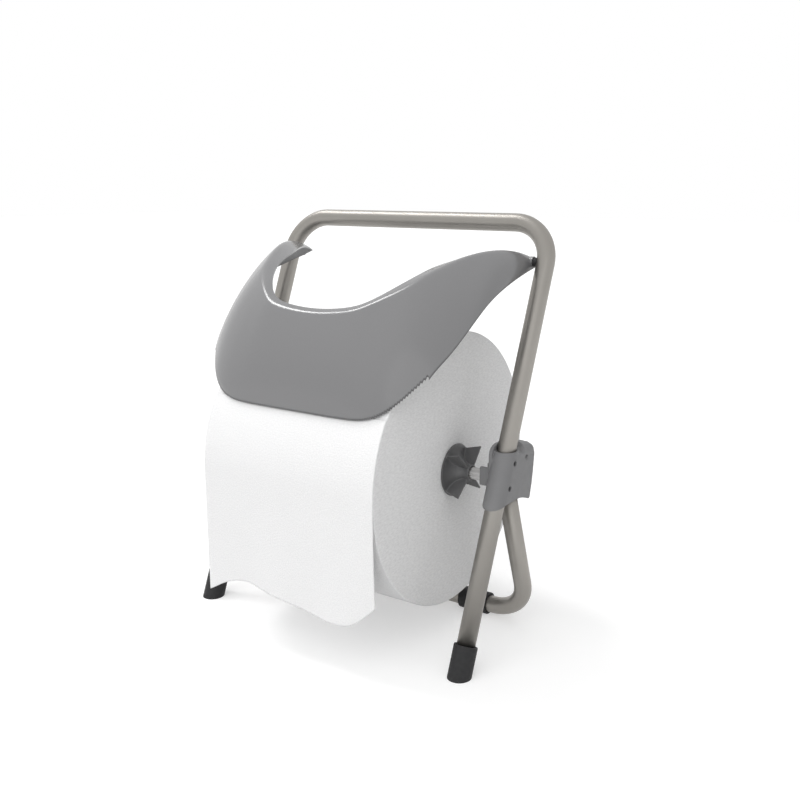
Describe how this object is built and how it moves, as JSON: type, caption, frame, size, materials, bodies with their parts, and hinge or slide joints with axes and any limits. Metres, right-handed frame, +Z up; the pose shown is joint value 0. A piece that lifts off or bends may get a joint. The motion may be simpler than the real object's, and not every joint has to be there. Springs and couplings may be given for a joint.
{
  "type": "tabletop roll dispenser",
  "caption": "Tabletop paper roll dispenser: bent tube stand, axle with finned core plugs, large roll with a hanging sheet, and a hinged bonnet with a toothed tear edge.",
  "frame": {"origin": "on the table, under the middle of the object's bounding box", "axes": "+X to the user's right along the roll's axis, +Y to the back, +Z up; the sheet hangs at -Y"},
  "size_m": [0.3842, 0.3066, 0.4679],
  "materials": {
    "satin_steel": "satin, drawn along the tube",
    "axle_aluminium": "satin, extruded",
    "cover_grey_plastic": "smooth moulded, soft sheen",
    "bracket_grey_plastic": "fine moulded grain",
    "plug_dark_plastic": "moulded",
    "foot_rubber": "matt",
    "screw_dark_steel": "blackened",
    "white_paper": "matt, finely embossed",
    "core_board": "matt"
  },
  "bodies": {
    "stand": {"front_frame_tube": "satin_steel", "rear_frame_tube": "satin_steel", "left_front_foot": "foot_rubber", "right_front_foot": "foot_rubber", "left_rear_foot": "foot_rubber", "right_rear_foot": "foot_rubber", "left_bracket_outer": "bracket_grey_plastic", "left_bracket_inner": "bracket_grey_plastic", "left_bracket_screw_1": "screw_dark_steel", "left_bracket_screw_2": "screw_dark_steel", "left_bracket_screw_3": "screw_dark_steel", "right_bracket_outer": "bracket_grey_plastic", "right_bracket_inner": "bracket_grey_plastic", "right_bracket_screw_1": "screw_dark_steel", "right_bracket_screw_2": "screw_dark_steel", "right_bracket_screw_3": "screw_dark_steel", "hanging_sheet": "white_paper", "left_pivot_pin": "screw_dark_steel", "left_pivot_bush": "foot_rubber", "right_pivot_pin": "screw_dark_steel", "right_pivot_bush": "foot_rubber"},
    "spindle": {"axle": "axle_aluminium", "cardboard_core": "core_board", "paper_roll": "white_paper"},
    "left_plug": {"left_core_plug": "plug_dark_plastic"},
    "right_plug": {"right_core_plug": "plug_dark_plastic"},
    "cover": {"cover": "cover_grey_plastic"}
  },
  "joints": [
    {"name": "cover_hinge", "type": "hinge", "parent": "stand", "child": "cover", "pos_m": [0, 0.07694, 0.417], "axis": [-1, 0, 0], "range_deg": [0, 65]},
    {"name": "spindle_turn", "type": "hinge", "parent": "stand", "child": "spindle", "pos_m": [0, 0.00035, 0.193], "axis": [1, 0, 0], "continuous": true},
    {"name": "right_plug_slide", "type": "slide", "parent": "spindle", "child": "right_plug", "axis": [1, 0, 0], "range_m": [0, 0.0145]},
    {"name": "left_plug_slide", "type": "slide", "parent": "spindle", "child": "left_plug", "axis": [-1, 0, 0], "range_m": [0, 0.0145]}
  ]
}
